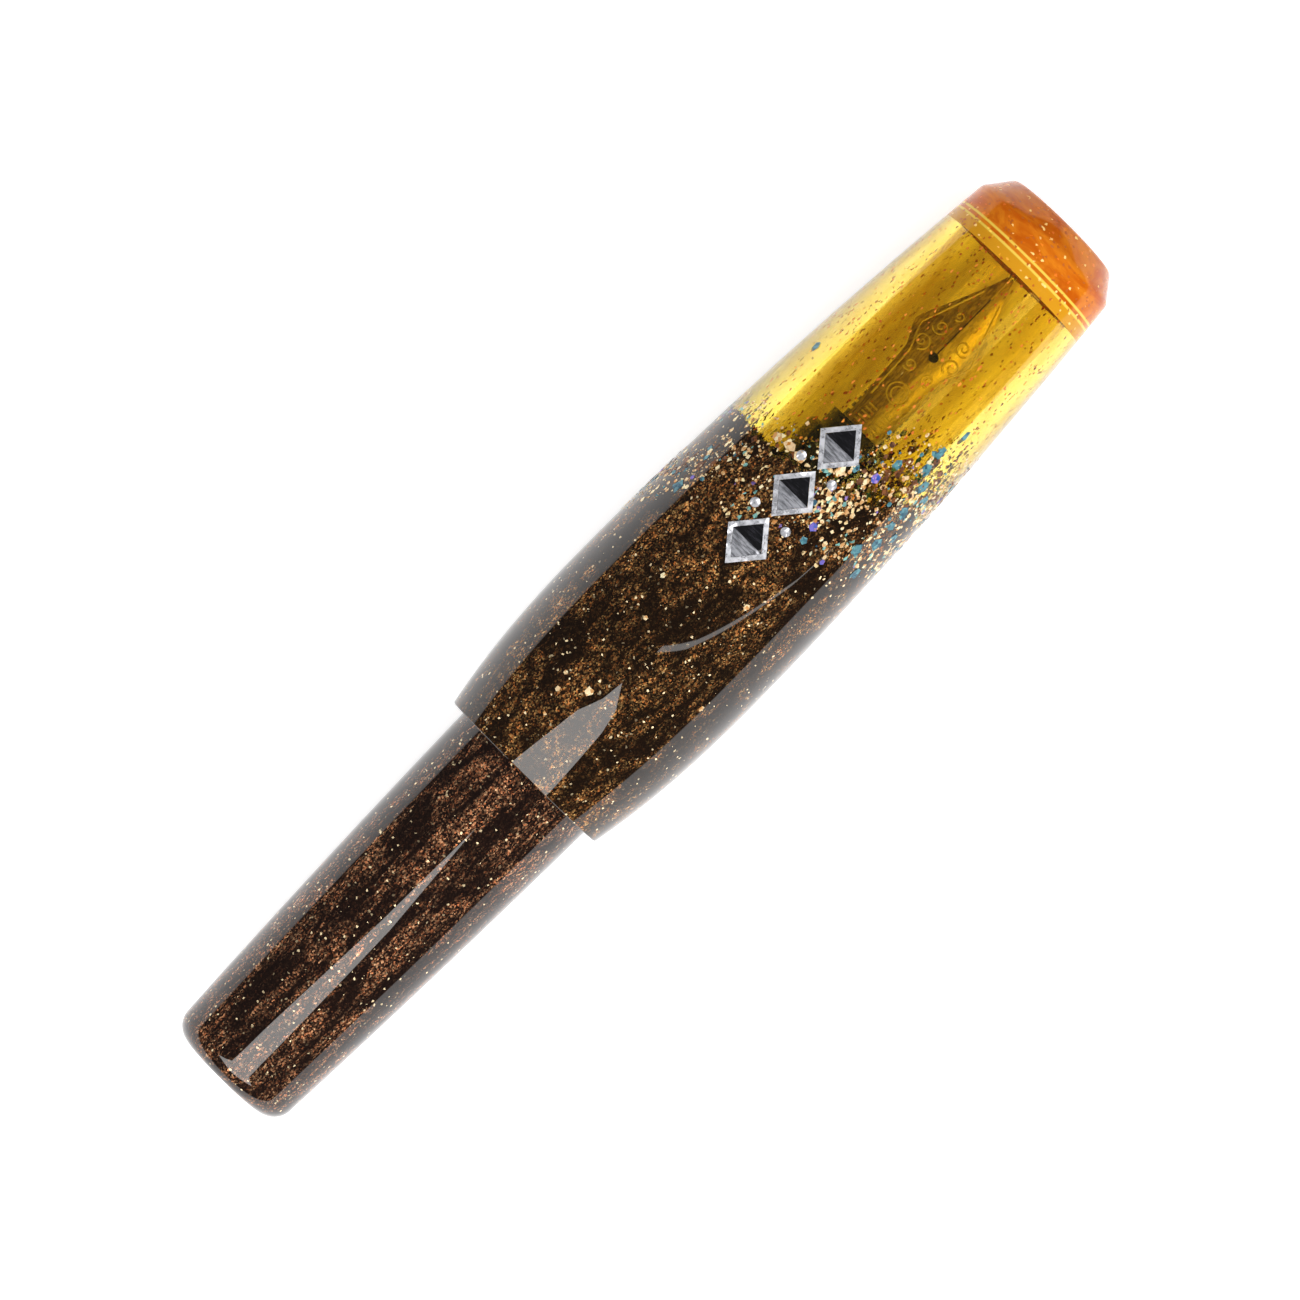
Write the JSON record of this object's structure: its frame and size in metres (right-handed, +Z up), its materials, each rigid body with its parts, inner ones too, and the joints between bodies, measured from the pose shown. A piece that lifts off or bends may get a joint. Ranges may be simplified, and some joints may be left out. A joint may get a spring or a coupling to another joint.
{
  "type": "pocket fountain pen",
  "caption": "Short clipless fountain pen in cast resin: screw-on clear and dark cap with inlay, steel nib unit, screw barrel and piston converter.",
  "frame": {"origin": "middle of the pen's length, on its axis seen from above, at the height of the surface that it lies on", "axes": "+X along the pen from the barrel end to the cap end, +Z up, with the inlay on top"},
  "size_m": [0.105, 0.0204, 0.0205],
  "materials": {
    "dark_resin": "polished cast resin with copper shimmer",
    "amber_resin": "polished clear cast resin with flakes",
    "orange_resin": "polished cast resin with fine flakes",
    "grip_resin": "polished cast resin",
    "silver": "bright inlay metal",
    "black_enamel": "gloss enamel",
    "nib_steel": "polished, engraved steel",
    "tipping_alloy": "polished hard alloy",
    "feed_plastic": "moulded",
    "converter_black": "moulded",
    "clear_plastic": "clear moulded plastic",
    "converter_metal": "plated",
    "spindle_steel": "turned",
    "piston_plastic": "moulded",
    "seal_rubber": "moulded rubber"
  },
  "bodies": {
    "grip": {"grip_section": "grip_resin", "nib": "nib_steel", "nib_tipping": "tipping_alloy", "feed": "feed_plastic", "nib_collar": "feed_plastic", "converter_mouth": "converter_black", "converter_tube": "clear_plastic", "converter_sleeve": "converter_metal", "spindle_guide": "converter_black"},
    "cap_end": {"cap_finial": "orange_resin"},
    "cap": {"cap_shell": "amber_resin", "cap_emblem": "silver", "emblem_enamel": "black_enamel"},
    "seal": {"barrel_seal": "seal_rubber"},
    "barrel": {"barrel": "dark_resin"},
    "knob": {"converter_knob": "converter_black", "spindle_nut": "converter_black"},
    "piston": {"spindle": "spindle_steel", "piston_head": "piston_plastic", "piston_seal": "seal_rubber"}
  },
  "joints": [
    {"name": "cap_pull", "type": "slide", "parent": "grip", "child": "cap_end", "axis": [1, 0, 0], "range_m": [0, 0.065]},
    {"name": "cap_turn", "type": "hinge", "parent": "cap_end", "child": "cap", "pos_m": [0, 0, 0.01024], "axis": [1, 0, 0], "range_deg": [0, 4681]},
    {"name": "barrel_pull", "type": "slide", "parent": "grip", "child": "seal", "axis": [-1, 0, 0], "range_m": [0, 0.045]},
    {"name": "barrel_turn", "type": "hinge", "parent": "seal", "child": "barrel", "pos_m": [0, 0, 0.01024], "axis": [-1, 0, 0], "range_deg": [0, 8101]},
    {"name": "knob_turn", "type": "hinge", "parent": "grip", "child": "knob", "pos_m": [0, 0, 0.01024], "axis": [-1, 0, 0], "range_deg": [0, 2881]},
    {"name": "piston_slide", "type": "slide", "parent": "grip", "child": "piston", "axis": [1, 0, 0], "range_m": [0, 0.012]}
  ],
  "couplings": [
    {"joint": "cap_turn", "follows": "cap_pull", "rad_per_m": 1256.6},
    {"joint": "barrel_turn", "follows": "barrel_pull", "rad_per_m": 3141.6},
    {"joint": "knob_turn", "follows": "piston_slide", "rad_per_m": 4188.8}
  ]
}
